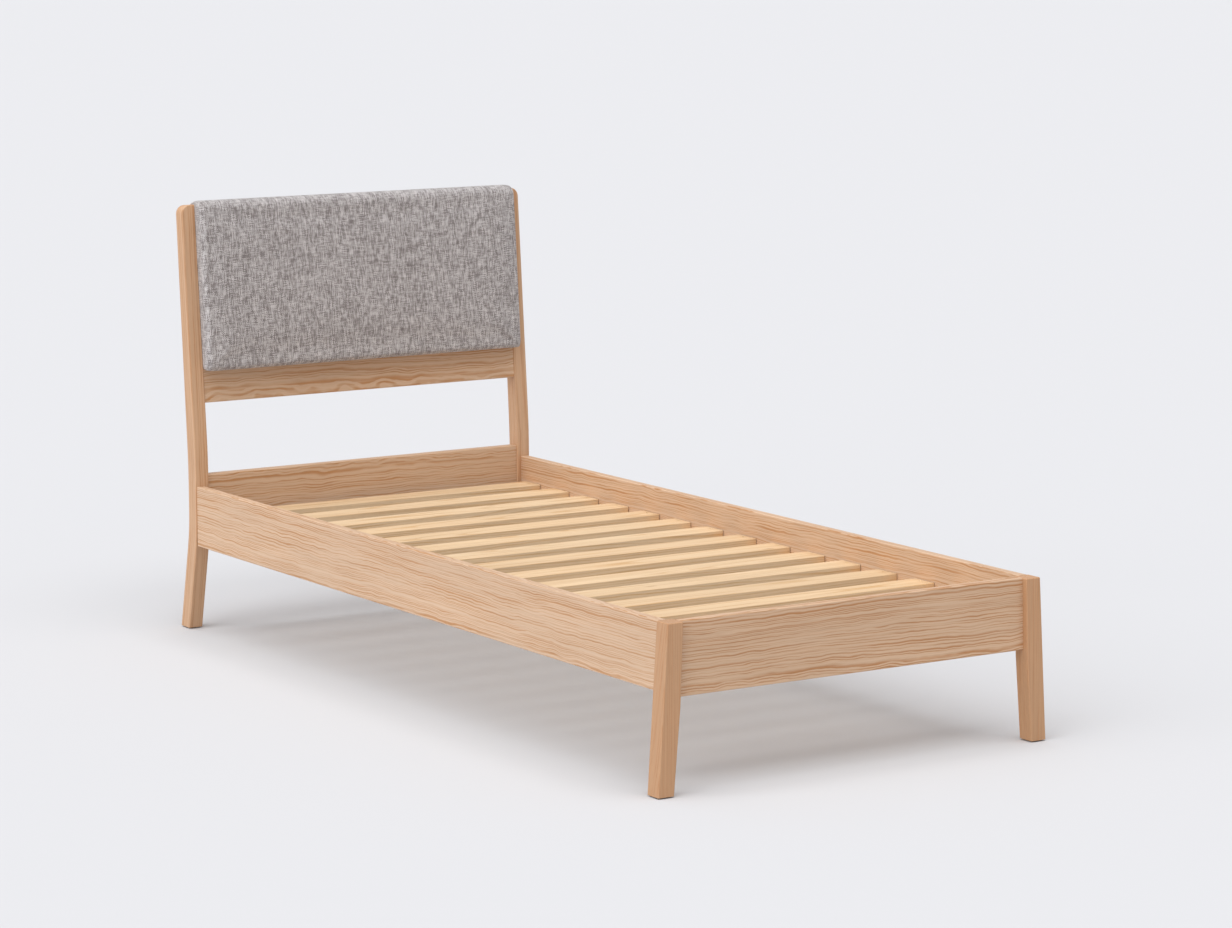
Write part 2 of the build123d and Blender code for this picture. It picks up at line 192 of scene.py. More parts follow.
# the headboard leans back: its pieces are built upright, then raked with the posts
panelFace = max(nodes["headboard_panel"].data.polygons, key=lambda face: face.area).normal
if panelFace.y > 0:
    panelFace = -panelFace
rakeAngle = Vector((-panelFace.y, panelFace.z)).angle(Vector((1, 0)))
rake = Matrix.Rotation(-rakeAngle, 4, "X")        # from upright to raked
upright = rake.inverted()


def uprightBox(name):
    places = [upright @ vertex.co for vertex in nodes[name].data.vertices]
    low = Vector(min(place[axis] for place in places) for axis in range(3))
    high = Vector(max(place[axis] for place in places) for axis in range(3))
    return low, high


coverLow, coverHigh = uprightBox("headboard_cover")
panelLow, panelHigh = uprightBox("headboard_panel")
topRailLow = uprightBox("headboard_top_rail")[0]


# colours, ring width and figure of each wood; lengths are in metres
woods = {
    "oak": {
        "pale": (0.655, 0.462, 0.316), "line": (0.480, 0.240, 0.102), "pore": (0.360, 0.165, 0.075),
        "ring": 0.0042, "figure": 0.016, "wave": 0.0042, "lineDepth": 0.95, "poreDepth": 0.16,
        "roughness": 0.46, "knots": 0.0,
    },
    "straightOak": {
        "pale": (0.640, 0.415, 0.258), "line": (0.490, 0.245, 0.115), "pore": (0.300, 0.130, 0.055),
        "ring": 0.0048, "figure": 0.006, "wave": 0.0008, "lineDepth": 0.80, "poreDepth": 0.20,
        "roughness": 0.46, "knots": 0.0,
    },
    "footOak": {
        "pale": (0.655, 0.455, 0.305), "line": (0.440, 0.208, 0.084), "pore": (0.360, 0.165, 0.075),
        "ring": 0.0050, "figure": 0.016, "wave": 0.0046, "lineDepth": 1.10, "poreDepth": 0.16,
        "roughness": 0.46, "knots": 0.0,
    },
    "pine": {
        "pale": (0.730, 0.540, 0.340), "line": (0.560, 0.335, 0.150), "pore": (0.330, 0.160, 0.065),
        "ring": 0.0050, "figure": 0.012, "wave": 0.0012, "lineDepth": 0.75, "poreDepth": 0.10,
        "roughness": 0.58, "knots": 1.0,
    },
    "beech": {
        "pale": (0.600, 0.390, 0.250), "line": (0.500, 0.290, 0.160), "pore": (0.300, 0.150, 0.080),
        "ring": 0.0035, "figure": 0.004, "wave": 0.0006, "lineDepth": 0.50, "poreDepth": 0.40,
        "roughness": 0.55, "knots": 0.0,
    },
}
drifts = (   # scale across and along the grain, which reach, and how much of it
    (5, 1.4, "figure", 1.0),
    (20, 14, "wave", 1.0),
    (90, 34, "wave", 0.28),
)
logTaper = 0.02               # a log tapers a little
ringUneven = {"scale": 75.0, "amount": 2.4}
grainScale = {   # scale of each mark, across and along the grain
    "pore": (950, 30),
    "fibre": (420, 6),
    "streak": (120, 5),
    "tone": (9, 1.3),
    "knot": (9, 2.6),
}
warmAndShadedLoss = (0.18, 0.27, 0.36)   # how much red, green and blue a fully warm board loses; on the foot legs and head posts part of this loss is painted shade


def stretched(tree, place, grain, across, along):
    scale = [across] * 3
    scale["XYZ".index(grain)] = along
    return put(tree, "ShaderNodeMapping", {"Vector": place, "Scale": scale}).outputs[0]


def wobble(tree, place, grain, across, along, reach):
    # a smooth sideways drift of the growth rings, of about reach metres
    noise = noiseOf(tree, stretched(tree, place, grain, across, along), detail=1.0)
    centred = put(tree, "ShaderNodeVectorMath", {0: noise.outputs["Color"], 1: (0.5, 0.5, 0.5)},
                  operation="SUBTRACT").outputs[0]
    return put(tree, "ShaderNodeVectorMath", {0: centred, "Scale": 2 * reach},
               operation="SCALE").outputs[0]


postBends = ((1, 0.420, 0.084), (-1, 0.238, 0.206))   # above or below, height, slope


def followBends(tree, place, bends):
    # a steam-bent post: its grain runs along it, above and below each bend
    split = put(tree, "ShaderNodeSeparateXYZ", {0: place})
    across = split.outputs["Y"]
    for way, height, slope in bends:
        past = sums(tree, "MULTIPLY", sums(tree, "SUBTRACT", split.outputs["Z"], height), way)
        across = sums(tree, "MULTIPLY_ADD", sums(tree, "MAXIMUM", past, 0.0), -slope, across)
    return put(tree, "ShaderNodeCombineXYZ", {0: split.outputs["X"], 1: across,
                                              2: split.outputs["Z"]}).outputs[0]


def woodMaterial(name, kind, grain, pith, warmthAndShade=0.0):
    # a solid piece of a log: growth rings round the pith, so that faces and end grain agree
    look = woods[kind]
    material, tree, shader = newMaterial(name)
    place = put(tree, "ShaderNodeTexCoord").outputs["Object"]
    if "post" in name:
        place = followBends(tree, place, postBends)
    fromPith = put(tree, "ShaderNodeMapping",
                   {"Vector": place, "Location": -Vector(pith)}).outputs[0]

    moved = fromPith
    for across, along, reach, part in drifts:
        drift = wobble(tree, fromPith, grain, across, along, look[reach] * part)
        moved = put(tree, "ShaderNodeVectorMath", {0: moved, 1: drift}, operation="ADD").outputs[0]
    crossways = [1.0, 1.0, 1.0]
    crossways["XYZ".index(grain)] = logTaper
    sideways = put(tree, "ShaderNodeVectorMath", {0: moved, 1: crossways},
                   operation="MULTIPLY").outputs[0]
    radius = put(tree, "ShaderNodeVectorMath", {0: sideways}, operation="LENGTH").outputs["Value"]
    outward = sums(tree, "MULTIPLY", radius, ringUneven["scale"])
    uneven = put(tree, "ShaderNodeTexNoise", {"W": outward, "Scale": 1.0},
                 noise_dimensions="1D").outputs["Fac"]
    ringCount = sums(tree, "MULTIPLY_ADD", uneven, ringUneven["amount"],
                     sums(tree, "DIVIDE", radius, look["ring"]))
    phase = sums(tree, "FRACT", ringCount)
    rise = spread(tree, phase, 0.0, 0.18)
    fall = spread(tree, phase, 0.22, 0.70, 1.0, 0.0)
    early = sums(tree, "MULTIPLY", rise, fall)
    late = spread(tree, phase, 0.55, 1.0)

    def marks(kind, detail):   # noise drawn out along the grain
        drawn = stretched(tree, fromPith, grain, *grainScale[kind])
        return noiseOf(tree, drawn, detail=detail).outputs["Fac"]

    # open pores, mostly in the early wood
    pores = spread(tree, marks("pore", 1.0), 0.53, 0.65)
    pores = sums(tree, "MULTIPLY", pores, sums(tree, "MULTIPLY_ADD", early, 0.80, 0.20))
    fibre = marks("fibre", 3.0)
    streak = marks("streak", 2.0)
    tone = marks("tone", 2.0)
    strength = sums(tree, "ADD", spread(tree, streak, 0.35, 0.65, 0.25, 1.0),
                    spread(tree, tone, 0.30, 0.70, 0.0, 0.25))

    lineMix = sums(tree, "MULTIPLY_ADD", late, 0.22, early)
    lineMix = sums(tree, "MULTIPLY", lineMix, look["lineDepth"])
    lineMix = sums(tree, "MULTIPLY", lineMix, strength)
    # painted shade in part: warmth darkens the whole board, and on the foot legs and head posts it
    # also stands in for shade on their faces
    pale = [c * (1 - warmthAndShade * k) for c, k in zip(look["pale"], warmAndShadedLoss)]
    colour = blendColours(tree, lineMix, (*pale, 1), (*look["line"], 1))
    colour = blendColours(tree, sums(tree, "MULTIPLY", pores, look["poreDepth"]), colour,
                          (*look["pore"], 1))
    if look["knots"]:
        cells = put(tree, "ShaderNodeTexVoronoi",
                    {"Vector": stretched(tree, moved, grain, *grainScale["knot"]), "Scale": 1.0})
        knot = spread(tree, cells.outputs["Distance"], 0.03, 0.075, 1.0, 0.0)
        colour = blendColours(tree, sums(tree, "MULTIPLY", knot, 0.75), colour, (*look["pore"], 1))
    brightness = sums(tree, "ADD", spread(tree, fibre, 0.25, 0.75, 0.94, 1.05),
                      spread(tree, tone, 0.25, 0.75, -0.05, 0.05))
    grey = put(tree, "ShaderNodeCombineColor",
               {0: brightness, 1: brightness, 2: brightness}).outputs[0]
    colour = blendColours(tree, 1.0, colour, grey, way="MULTIPLY")

    tree.links.new(colour, shader.inputs["Base Color"])
    rough = sums(tree, "MULTIPLY_ADD", pores, 0.18, look["roughness"])
    tree.links.new(rough, shader.inputs["Roughness"])
    relief = sums(tree, "SUBTRACT", sums(tree, "MULTIPLY", fibre, 0.25),
                  sums(tree, "MULTIPLY_ADD", pores, 0.8, sums(tree, "MULTIPLY", early, 0.12)))
    bumpOn(tree, shader, relief, 0.30, 0.0002)
    setShader(shader, Specular_IOR_Level=0.38)
    return material


# kind of wood, grain axis, where the pith lies from the board's middle, and how warm the board is;
# the foot legs' and head posts' warmth is partly their own colour and partly painted shade
boards = {
    "side_rail_left": ("oak", "Y", (0.110, 0, -0.180), 0.03),
    "side_rail_right": ("oak", "Y", (-0.120, 0, 0.170), 0.03),
    "foot_rail": ("footOak", "X", (0, 0.070, -0.125), 0.20),
    "head_rail": ("oak", "X", (0, 0.080, 0.105), 0.10),
    "headboard_lower_rail": ("oak", "X", (0, 0.070, -0.060), 0.20),
    "headboard_top_rail": ("oak", "X", (0, 0.060, -0.070), 0.2),
    "foot_leg_left": ("straightOak", "Z", (0.110, 0.060, 0), 1.0),
    "foot_leg_right": ("straightOak", "Z", (-0.090, 0.085, 0), 1.05),
    "head_post_left": ("straightOak", "Z", (0.095, 0.105, 0), 0.30),
    "head_post_right": ("straightOak", "Z", (-0.080, 0.120, 0), 0.30),
    "slat_cleat_left": ("pine", "Y", (0.050, 0, -0.080), 0.1),
    "slat_cleat_right": ("pine", "Y", (-0.060, 0, -0.070), 0.1),
    "headboard_dowels": ("beech", "X", (0, 0.040, 0.030), 0.0),
}


def sawBoards():
    for name, (kind, grain, offset, warmthAndShade) in boards.items():
        low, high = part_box(name)
        pith = (low + high) / 2 + Vector(offset)
        paint(nodes[name], woodMaterial(f"{kind}_{name}", kind, grain, pith, warmthAndShade))
    slats = sorted(name for name in nodes if name.startswith("slat_") and name[5:].isdigit())
    for number, name in enumerate(slats):
        low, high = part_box(name)
        side = 1 if number % 3 else -1   # each slat comes from another part of a log
        offset = (0.31 * number, 0.012 * (number % 5) - 0.02, side * (0.035 + 0.009 * (number % 4)))
        pith = (low + high) / 2 + Vector(offset)
        paint(nodes[name], woodMaterial(f"pine_{name}", "pine", "X", pith, 0.08 * (number % 4)))
    return slats


slatNames = sawBoards()
print("boards sawn:", len(boards), "and slats:", len(slatNames))


# steel, plastic and plywood
finishes = {
    "zinc_steel": {"colour": (0.560, 0.570, 0.580), "roughness": 0.34,
                   "speckle": 900, "depth": 0.10},
    "screw_steel": {"colour": (0.700, 0.560, 0.300), "roughness": 0.30,
                    "speckle": 1400, "depth": 0.12},
    "glide_plastic": {"colour": (0.085, 0.062, 0.048), "roughness": 0.55,
                      "speckle": 2200, "depth": 0.20},
}
cloudScale = 45.0
plyLook = {"pale": (0.640, 0.480, 0.310), "dark": (0.400, 0.260, 0.150), "veneer": 0.0017}


def speckled(name, metal):
    # one even colour, broken up by fine speckle, with a slightly uneven gloss
    look = finishes[name]
    material, tree, shader = newMaterial(name)
    place = put(tree, "ShaderNodeTexCoord").outputs["Object"]
    fine = put(tree, "ShaderNodeMapping",
               {"Vector": place, "Scale": [look["speckle"]] * 3}).outputs[0]
    grains = noiseOf(tree, fine, detail=3.0).outputs["Fac"]
    broad = put(tree, "ShaderNodeMapping", {"Vector": place, "Scale": [cloudScale] * 3}).outputs[0]
    clouds = noiseOf(tree, broad, detail=2.0).outputs["Fac"]
    dark = [c * (1 - look["depth"]) for c in look["colour"]]
    mixed = sums(tree, "MULTIPLY_ADD", grains, 0.6, sums(tree, "MULTIPLY", clouds, 0.4))
    colour = blendColours(tree, spread(tree, mixed, 0.3, 0.7), (*dark, 1), (*look["colour"], 1))
    tree.links.new(colour, shader.inputs["Base Color"])
    rough = spread(tree, clouds, 0.3, 0.7, look["roughness"] - 0.05, look["roughness"] + 0.07)
    tree.links.new(rough, shader.inputs["Roughness"])
    bumpOn(tree, shader, grains, 0.15, 0.0001)
    setShader(shader, Metallic=1.0 if metal else 0.0)
    return material


def plyMaterial():
    material, tree, shader = newMaterial("plywood")
    place = put(tree, "ShaderNodeTexCoord").outputs["Object"]
    turned = put(tree, "ShaderNodeMapping",
                 {"Vector": place, "Rotation": (rakeAngle, 0, 0)}).outputs[0]
    depth = put(tree, "ShaderNodeSeparateXYZ", {0: turned}).outputs["Y"]
    layer = sums(tree, "FRACT", sums(tree, "DIVIDE", depth, 2 * plyLook["veneer"]))
    glue = spread(tree, sums(tree, "ABSOLUTE", sums(tree, "SUBTRACT", layer, 0.5)), 0.20, 0.30)
    streaks = noiseOf(tree, stretched(tree, turned, "X", 260, 8), detail=3.0).outputs["Fac"]
    darkness = sums(tree, "MULTIPLY", glue, sums(tree, "MULTIPLY_ADD", streaks, 0.6, 0.2))
    colour = blendColours(tree, darkness, (*plyLook["pale"], 1), (*plyLook["dark"], 1))
    tree.links.new(colour, shader.inputs["Base Color"])
    bumpOn(tree, shader, streaks, 0.2, 0.0002)
    setShader(shader, Roughness=0.65)
    return material


zincSteel = speckled("zinc_steel", True)
screwSteel = speckled("screw_steel", True)
glidePlastic = speckled("glide_plastic", False)
for name in nodes:
    if name.startswith(("hook_plate_foot", "hook_plate_head",
                        "strike_plate_foot", "strike_plate_head")):
        paint(nodes[name], zincSteel)
    elif name.endswith("_screws"):
        paint(nodes[name], screwSteel)
    elif name.startswith("floor_glide"):
        paint(nodes[name], glidePlastic)
paint(nodes["headboard_panel"], plyMaterial())
print("hardware and panel finished")


# the padded headboard cover, in metres
pad = {
    "voxel": 0.0073,
    "roll": 0.026,             # the long roll over the top
    "edge": 0.012,             # rounding of the other front edges
    "corner": 0.009,           # lower corners, seen from the front
    "turned": 0.004,           # rounding where the cloth goes round the panel
    "behindPanelFront": 0.002,
    "narrow": 0.0037,          # how much narrower the pad is between the posts
    "lap": 0.007,              # how far the cloth goes on behind the panel
    "flapBelowRail": 0.004,
    "cloth": 0.0016,
    "pressure": 4.0,
    "quality": 5,
    "mass": 0.3,
    "frames": 20,
    "swell": 0.0045,           # the most that the foam part may stand proud
    "swellBehind": 0.0006,
}
weave = {
    "yarn": 0.0026,
    "light": (0.640, 0.606, 0.598),
    "dark": (0.185, 0.160, 0.154),
    "slubs": (0.026, 0.022),   # how soon an upright and a level yarn change shade
    "apart": 7.31,             # keeps the shades of neighbouring yarns unlike
    "topShare": 0.78,          # how much the yarn on top counts
    "uprightShare": 0.20,
    "fleck": 2.3,
    "fleckDepth": 0.10,
}


def weaveMaterial():
    material, tree, shader = newMaterial("heatheredLinen")
    place = put(tree, "ShaderNodeUVMap", uv_map="weave").outputs[0]
    yarns = put(tree, "ShaderNodeMapping",
                {"Vector": place, "Scale": [1 / weave["yarn"]] * 3}).outputs[0]
    split = put(tree, "ShaderNodeSeparateXYZ", {0: yarns})
    across, up = split.outputs["X"], split.outputs["Y"]

    # each yarn has its own shade, which changes slowly along its length
    shades = []
    for number, along, slub in ((sums(tree, "FLOOR", across), up, weave["slubs"][0]),
                                (sums(tree, "FLOOR", up), across, weave["slubs"][1])):
        slow = sums(tree, "MULTIPLY", along, weave["yarn"] / slub)
        own = sums(tree, "MULTIPLY", number, weave["apart"])
        spot = put(tree, "ShaderNodeCombineXYZ", {0: own, 1: slow}).outputs[0]
        shades.append(spread(tree, noiseOf(tree, spot, detail=2.0).outputs["Fac"], 0.33, 0.67))
    overUnder = put(tree, "ShaderNodeTexChecker", {"Vector": yarns, "Scale": 1.0}).outputs["Fac"]
    shade = put(tree, "ShaderNodeMix", {0: overUnder, 2: shades[0], 3: shades[1]}).outputs[0]
    shade = sums(tree, "MULTIPLY_ADD", shade, weave["topShare"],
                 sums(tree, "MULTIPLY", shades[0], weave["uprightShare"]))
    flecks = put(tree, "ShaderNodeMapping",
                 {"Vector": yarns, "Scale": (weave["fleck"], weave["fleck"], 1.0)}).outputs[0]
    fleck = noiseOf(tree, flecks, detail=2.0).outputs["Fac"]
    shade = sums(tree, "ADD", shade, spread(tree, fleck, 0.3, 0.7, -weave["fleckDepth"],
                                            weave["fleckDepth"]))

    # rounded yarns: across where the upright yarn is on top, up where the level one is
    crowns = [sums(tree, "ABSOLUTE", sums(tree, "SINE", sums(tree, "MULTIPLY", value, pi)))
              for value in (across, up)]
    height = put(tree, "ShaderNodeMix", {0: overUnder, 2: crowns[0], 3: crowns[1]}).outputs[0]
    gaps = sums(tree, "MULTIPLY", crowns[0], crowns[1])
    # painted shade: the colour darkens in the gaps between the yarns
    shade = sums(tree, "ADD", shade, spread(tree, gaps, 0.0, 0.45, -0.30, 0.04))
    colour = blendColours(tree, shade, (*weave["dark"], 1), (*weave["light"], 1))
    tree.links.new(colour, shader.inputs["Base Color"])
    bumpOn(tree, shader, sums(tree, "MULTIPLY_ADD", height, 0.6, gaps), 0.55, 0.0006)
    setShader(shader, Roughness=0.92, Specular_IOR_Level=0.2, Sheen_Weight=0.30,
              Sheen_Roughness=0.5)
    return material


def roundOff(bm, edges, radius, segments=4):
    bmesh.ops.bevel(bm, geom=edges, offset=radius, offset_type="OFFSET", segments=segments,
                    profile=0.5, affect="EDGES", material=-1)


def addBlock(bm, low, high):
    made = bmesh.ops.create_cube(bm, size=1)["verts"]
    bmesh.ops.scale(bm, vec=Vector(high) - Vector(low), verts=made)
    bmesh.ops.translate(bm, vec=(Vector(low) + Vector(high)) / 2, verts=made)
    return onceEach(edge for vert in made for edge in vert.link_edges)


def runsAlong(edge, axis):
    return abs((edge.verts[0].co - edge.verts[1].co).normalized()[axis]) > 0.99


def middleOf(edge):
    return (edge.verts[0].co + edge.verts[1].co) / 2


def remeshed(bm, voxel):
    mesh = bpy.data.meshes.new("remeshing")
    bm.to_mesh(mesh)
    bm.free()
    holder = bpy.data.objects.new("remeshing", mesh)
    scene.collection.objects.link(holder)
    remesh = holder.modifiers.new("remesh", "REMESH")
    remesh.mode = "VOXEL"
    remesh.voxel_size = voxel
    finished = holder.evaluated_get(bpy.context.evaluated_depsgraph_get())
    whole = bpy.data.meshes.new_from_object(finished)
    bpy.data.objects.remove(holder)
    bpy.data.meshes.remove(mesh)
    result = bmesh.new()
    result.from_mesh(whole)
    bpy.data.meshes.remove(whole)
    return result


def layWeave(bm):
    # the cloth's own length and width, followed round the pad's edges
    layer = bm.loops.layers.uv.new("weave")
    halfDeep = (coverLow.y + coverHigh.y) / 2
    for face in bm.faces:
        side = abs(face.normal.x) > abs(face.normal.z) and face.normal.y < 0.7
        way = 1 if face.normal.z > 0 or face.normal.y > 0.7 else -1
        for loop in face.loops:
            spot = loop.vert.co
            depth = spot.y - coverLow.y
            if side:
                loop[layer].uv = (spot.x + (depth if spot.x > 0 else -depth), spot.z)
            elif spot.y > halfDeep and way > 0:
                loop[layer].uv = (spot.x, 2 * coverHigh.z - spot.z + depth)
            else:
                loop[layer].uv = (spot.x, spot.z + way * depth)


def swell(piece, isHeld):
    # the stretched cover fills out over the foam; where it is tacked down it stays put
    mesh = piece.data
    held = piece.vertex_groups.new(name="held")
    held.add([vertex.index for vertex in mesh.vertices if isHeld(vertex.co)], 1.0, "REPLACE")
    cloth = piece.modifiers.new("swell", "CLOTH")
    cloth.settings.quality = pad["quality"]
    cloth.settings.mass = pad["mass"]
    cloth.settings.vertex_group_mass = "held"
    cloth.settings.use_pressure = True
    cloth.settings.uniform_pressure_force = pad["pressure"]
    cloth.settings.effector_weights.gravity = 0
    cloth.collision_settings.use_collision = False
    cloth.point_cache.frame_end = pad["frames"]
    for number in range(1, pad["frames"] + 1):
        scene.frame_set(number)
    moved = piece.evaluated_get(bpy.context.evaluated_depsgraph_get()).data
    places = [vertex.co.copy() for vertex in moved.vertices]
    piece.modifiers.remove(cloth)
    piece.vertex_groups.remove(held)
    scene.frame_set(1)
    for vertex, place in zip(mesh.vertices, places):
        move = place - vertex.co
        inward = min(move.dot(vertex.normal), 0)
        move -= vertex.normal * inward
        most = pad["swell"] if vertex.co.y < panelLow.y else pad["swellBehind"]
        if move.length > 1e-7:
            vertex.co += move * (most * tanh(move.length / most) / move.length)


def buildPad():
    half = coverHigh.x
    between = half - pad["narrow"]
    wideBack = panelLow.y + pad["behindPanelFront"]
    flapBottom = topRailLow.z - pad["flapBelowRail"]
    back = panelHigh.y + pad["lap"]
    bm = bmesh.new()
    edges = addBlock(bm, (-half, coverLow.y, coverLow.z), (half, wideBack, coverHigh.z))
    topFront = [edge for edge in edges if runsAlong(edge, 0) and middleOf(edge).y < wideBack - 0.01
                and middleOf(edge).z > coverHigh.z - 0.01]
    roundOff(bm, topFront, pad["roll"], 8)
    lower = [edge for edge in bm.edges
             if runsAlong(edge, 1) and middleOf(edge).z < coverLow.z + 0.01]
    roundOff(bm, lower, pad["corner"])
    around = [edge for edge in bm.edges
              if edge.calc_face_angle(0) > radians(40) and middleOf(edge).y < wideBack - 0.001]
    roundOff(bm, around, pad["edge"])
    roundOff(bm, addBlock(bm, (-between, coverLow.y + pad["roll"], coverLow.z + 0.001),
                          (between, back, coverHigh.z)), pad["turned"], 2)
    roundOff(bm, addBlock(bm, (-between, coverLow.y + pad["roll"], flapBottom),
                          (between, coverHigh.y, coverHigh.z)), pad["turned"], 2)
    bm = remeshed(bm, pad["voxel"])
    tuck = pad["turned"]
    hidden = [face for face in bm.faces
              if (face.normal.y > 0.6 and abs(face.calc_center_median().y - back) < tuck
                  and face.calc_center_median().z < flapBottom + tuck)
              or (face.normal.z < -0.6 and face.calc_center_median().y > back + tuck)]
    bmesh.ops.delete(bm, geom=hidden, context="FACES")
    layWeave(bm)
    piece = newPiece("padCover", bm, weaveMaterial())
    swell(piece, lambda place: place.y > wideBack + 0.003)
    piece.data.transform(rake)
    finer = piece.modifiers.new("finer", "SUBSURF")
    finer.levels = 1
    finer.render_levels = 1
    wall = piece.modifiers.new("wall", "SOLIDIFY")
    wall.thickness = pad["cloth"]
    wall.offset = -1
    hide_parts("headboard_cover", "headboard_foam")


buildPad()
print("headboard pad covered")


# black lining behind the headboard, and the staples that hold it
lining = {
    "columns": 88,
    "rows": 32,
    "thick": 0.0004,
    "ripple": 0.00035,         # how far it stands off between the staples
    "rippleReach": 0.09,
    "dot": 0.0016,             # spacing of the pressed dots
    "fibre": (900, 260, 1),
    "dark": (0.009, 0.009, 0.010),
    "light": (0.060, 0.060, 0.064),
}
staple = {
    "crown": 0.010,
    "wire": 0.0011,
    "thick": 0.0006,
    "leg": 0.004,
    "pitch": 0.045,
    "inset": 0.008,
}


def liningMaterial():
    material, tree, shader = newMaterial("blackLining")
    place = put(tree, "ShaderNodeUVMap", uv_map="cloth").outputs[0]
    dots = put(tree, "ShaderNodeMapping",
               {"Vector": place, "Scale": [1 / lining["dot"]] * 3}).outputs[0]
    cells = put(tree, "ShaderNodeTexVoronoi", {"Vector": dots, "Scale": 1.0, "Randomness": 0.15})
    pressed = spread(tree, cells.outputs["Distance"], 0.18, 0.34)
    fibres = put(tree, "ShaderNodeMapping", {"Vector": place, "Scale": lining["fibre"]}).outputs[0]
    fibre = noiseOf(tree, fibres, detail=4.0, roughness=0.7).outputs["Fac"]
    shade = sums(tree, "MULTIPLY", sums(tree, "MULTIPLY_ADD", pressed, 0.5, 0.5), fibre)
    colour = blendColours(tree, shade, (*lining["dark"], 1), (*lining["light"], 1))
    tree.links.new(colour, shader.inputs["Base Color"])
    bumpOn(tree, shader, sums(tree, "MULTIPLY_ADD", fibre, 0.4, pressed), 0.5, 0.0003)
    setShader(shader, Roughness=0.88, Specular_IOR_Level=0.25, Sheen_Weight=0.1)
    return material


def buildLining():
    low, high = uprightBox("headboard_lining")
    wide, tall = high.x - low.x, high.z - low.z
    bm = bmesh.new()
    made = bmesh.ops.create_grid(bm, x_segments=lining["columns"], y_segments=lining["rows"],
                                 size=0.5, calc_uvs=False)["verts"]
    layer = bm.loops.layers.uv.new("cloth")
    for face in bm.faces:
        for loop in face.loops:
            loop[layer].uv = (loop.vert.co.x * wide, loop.vert.co.y * tall)
    bmesh.ops.scale(bm, vec=(wide, tall, 1), verts=made)
    for vert in made:   # slack between the staples, most at the edges
        edge = min(wide / 2 - abs(vert.co.x), tall / 2 - abs(vert.co.y))
        slack = cos(2 * pi * (vert.co.x + vert.co.y) / staple["pitch"])
        slack *= max(0.0, 1 - edge / lining["rippleReach"])
        vert.co.z = lining["ripple"] * (0.5 + 0.5 * slack)
    bmesh.ops.rotate(bm, matrix=Matrix.Rotation(-pi / 2, 3, "X"), verts=made)
    bmesh.ops.translate(bm, vec=(0, low.y + lining["thick"], (low.z + high.z) / 2), verts=made)
    piece = newPiece("liningCloth", bm, liningMaterial(), rake)
    wall = piece.modifiers.new("wall", "SOLIDIFY")
    wall.thickness = lining["thick"]
    wall.offset = 0
    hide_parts("headboard_lining")
    return low, high


def addStaple(bm, place, upwards):
    # a flat crown lying on the cloth, with a leg at each end driven in
    before = set(bm.verts)
    made = bmesh.ops.create_cube(bm, size=1)["verts"]
    bmesh.ops.scale(bm, vec=(staple["crown"], staple["thick"], staple["wire"]), verts=made)
    inner = staple["crown"] / 2 - staple["thick"]
    for end in (-inner, inner):
        mine = [vert for vert in bm.verts if vert not in before]
        faces = onceEach(face for vert in mine for face in vert.link_faces)
        edges = onceEach(edge for vert in mine for edge in vert.link_edges)
        bmesh.ops.bisect_plane(bm, geom=mine + edges + faces, plane_co=(end, 0, 0),
                               plane_no=(1, 0, 0))
    mine = [vert for vert in bm.verts if vert not in before]
    tips = [face for face in onceEach(face for vert in mine for face in vert.link_faces)
            if face.normal.y < -0.9 and abs(face.calc_center_median().x) > inner]
    tips.sort(key=lambda face: face.calc_center_median().x)
    legs = bmesh.ops.extrude_discrete_faces(bm, faces=tips)
    low = onceEach(vert for face in legs["faces"] for vert in face.verts)
    bmesh.ops.translate(bm, vec=(0, -staple["leg"], 0), verts=low)
    mine = [vert for vert in bm.verts if vert not in before]
    if upwards:
        bmesh.ops.rotate(bm, matrix=Matrix.Rotation(pi / 2, 3, "Y"), verts=mine)
    bmesh.ops.translate(bm, vec=place, verts=mine)


def evenly(low, high, inset, pitch):
    count = max(1, round((high - low - 2 * inset) / pitch))
    return [low + inset + (high - low - 2 * inset) * k / count for k in range(count + 1)]


def buildStaples(low, high):
    bm = bmesh.new()
    inset = staple["inset"]
    surface = low.y + 2 * lining["thick"] + staple["thick"] / 2
    for x in evenly(low.x, high.x, 2 * inset, staple["pitch"]):
        for z in (low.z + inset, high.z - inset):
            addStaple(bm, (x, surface, z), False)
        addStaple(bm, (x, coverHigh.y + staple["thick"] / 2, topRailLow.z + inset), False)
    for z in evenly(low.z, high.z, 4 * inset, staple["pitch"]):
        for x in (low.x + inset, high.x - inset):
            addStaple(bm, (x, surface, z), True)
    piece = newPiece("staples", bm, zincSteel, rake)
    for face in piece.data.polygons:
        face.use_smooth = False


buildStaples(*buildLining())
print("lining stapled on")


# screws with a cross recess, in place of the plain ones
screwShape = {
    "segments": 20,
    "recess": 0.62,            # the cross, as a share of the head
    "recessDepth": 0.45,
    "recessTaper": 0.55,
    "sunk": 0.00015,
    "rimMargin": 0.0002,       # how much smaller than the plain screw
    "tipMargin": 0.001,
    "turn": 0.7,               # each screw stops at another angle
}
screwFaces = {   # which way the heads of each set look
    "slat_screws": lambda head: Vector((0, 0, 1)),
    "cleat_screws": lambda head: Vector((-1 if head.x > 0 else 1, 0, 0)),
    "panel_screws": lambda head: rake.to_3x3() @ Vector((0, 1, 0)),
}


def islandsOf(name):
    bm = bmesh.new()
    bm.from_mesh(nodes[name].data)
    bmesh.ops.remove_doubles(bm, verts=bm.verts, dist=0.00001)
    seen, islands = set(), []
    for start in bm.verts:
        if start in seen:
            continue
        seen.add(start)
        island, waiting = [], [start]
        while waiting:
            vert = waiting.pop()
            island.append(vert.co.copy())
            for edge in vert.link_edges:
                other = edge.other_vert(vert)
                if other not in seen:
                    seen.add(other)
                    waiting.append(other)
        islands.append(island)
    bm.free()
    return islands


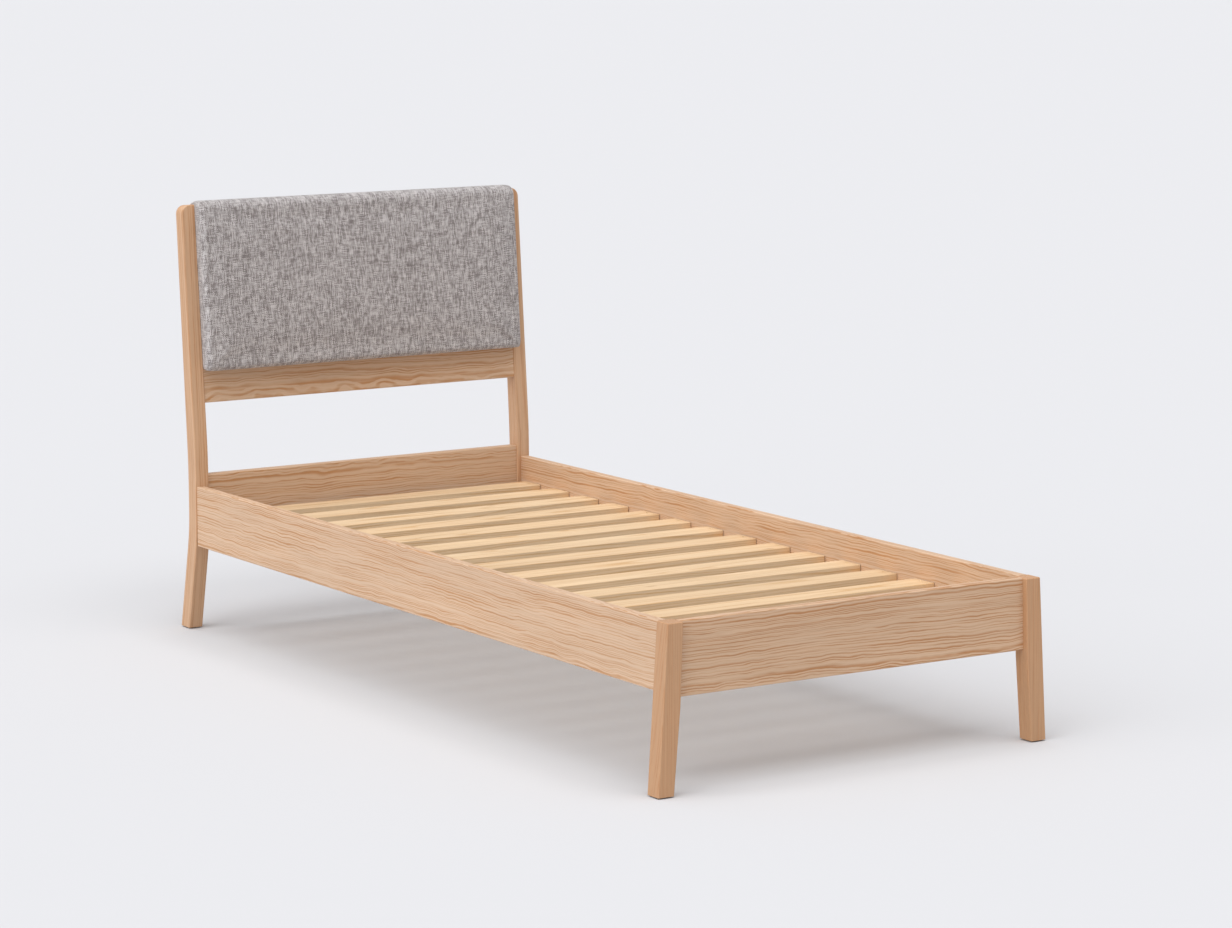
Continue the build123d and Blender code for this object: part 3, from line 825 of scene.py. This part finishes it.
def addScrew(bm, head, outward, radius, shank, length, turn):
    before = set(bm.verts)
    rim = bmesh.ops.create_circle(bm, segments=screwShape["segments"], radius=radius)["verts"]
    rimEdges = onceEach(edge for vert in rim for edge in vert.link_edges)
    grid = bmesh.ops.create_grid(bm, x_segments=3, y_segments=3,
                                 size=radius * screwShape["recess"])["verts"]
    cross = onceEach(face for vert in grid for face in vert.link_faces)
    corners = [face for face in cross
               if min(abs(value) for value in face.calc_center_median().xy) > radius * 0.1]
    arms = [face for face in cross if face not in corners]
    bmesh.ops.delete(bm, geom=corners, context="FACES")
    outline = [edge for edge in onceEach(edge for face in arms for edge in face.edges)
               if edge.is_boundary]
    floor = bmesh.ops.extrude_face_region(bm, geom=arms)["geom"]
    bmesh.ops.delete(bm, geom=arms, context="FACES_ONLY")
    floorVerts = [item for item in floor if isinstance(item, bmesh.types.BMVert)]
    taper = screwShape["recessTaper"]
    bmesh.ops.scale(bm, vec=(taper, taper, 1), verts=floorVerts)
    bmesh.ops.translate(bm, vec=(0, 0, -radius * screwShape["recessDepth"]), verts=floorVerts)
    bmesh.ops.triangle_fill(bm, edges=rimEdges + outline, use_beauty=True)
    ring = rimEdges
    for scale, drop in ((shank / radius, radius - shank), (1.0, length - radius + shank)):
        made = bmesh.ops.extrude_edge_only(bm, edges=ring)["geom"]
        low = [item for item in made if isinstance(item, bmesh.types.BMVert)]
        ring = [item for item in made if isinstance(item, bmesh.types.BMEdge) and
                all(vert in low for vert in item.verts)]
        bmesh.ops.scale(bm, vec=(scale, scale, 1), verts=low)
        bmesh.ops.translate(bm, vec=(0, 0, -drop), verts=low)
    bmesh.ops.holes_fill(bm, edges=ring)
    mine = [vert for vert in bm.verts if vert not in before]
    aim = outward.to_track_quat("Z", "Y").to_matrix() @ Matrix.Rotation(turn, 3, "Z")
    bmesh.ops.rotate(bm, matrix=aim, verts=mine)
    bmesh.ops.translate(bm, vec=head - outward * screwShape["sunk"], verts=mine)


def buildScrews():
    for name, facing in screwFaces.items():
        bm = bmesh.new()
        for number, island in enumerate(islandsOf(name)):
            middle = sum(island, Vector()) / len(island)
            outward = facing(middle)
            top = max(place.dot(outward) for place in island)
            length = top - min(place.dot(outward) for place in island)
            headRing = [place for place in island if place.dot(outward) > top - 0.0001]
            tipRing = [place for place in island if place.dot(outward) < top - length + 0.0001]
            head = sum(headRing, Vector()) / len(headRing)
            tip = sum(tipRing, Vector()) / len(tipRing)
            radius = max((place - head).length for place in headRing)
            shank = max((place - tip).length for place in tipRing)
            addScrew(bm, head, outward, radius - screwShape["rimMargin"], shank,
                     length - screwShape["tipMargin"], screwShape["turn"] * number)
        bmesh.ops.recalc_face_normals(bm, faces=bm.faces)
        piece = newPiece(name.split("_")[0] + "Screws", bm, screwSteel)
        for face in piece.data.polygons:
            face.use_smooth = False
        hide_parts(name)


buildScrews()
print("screws driven")
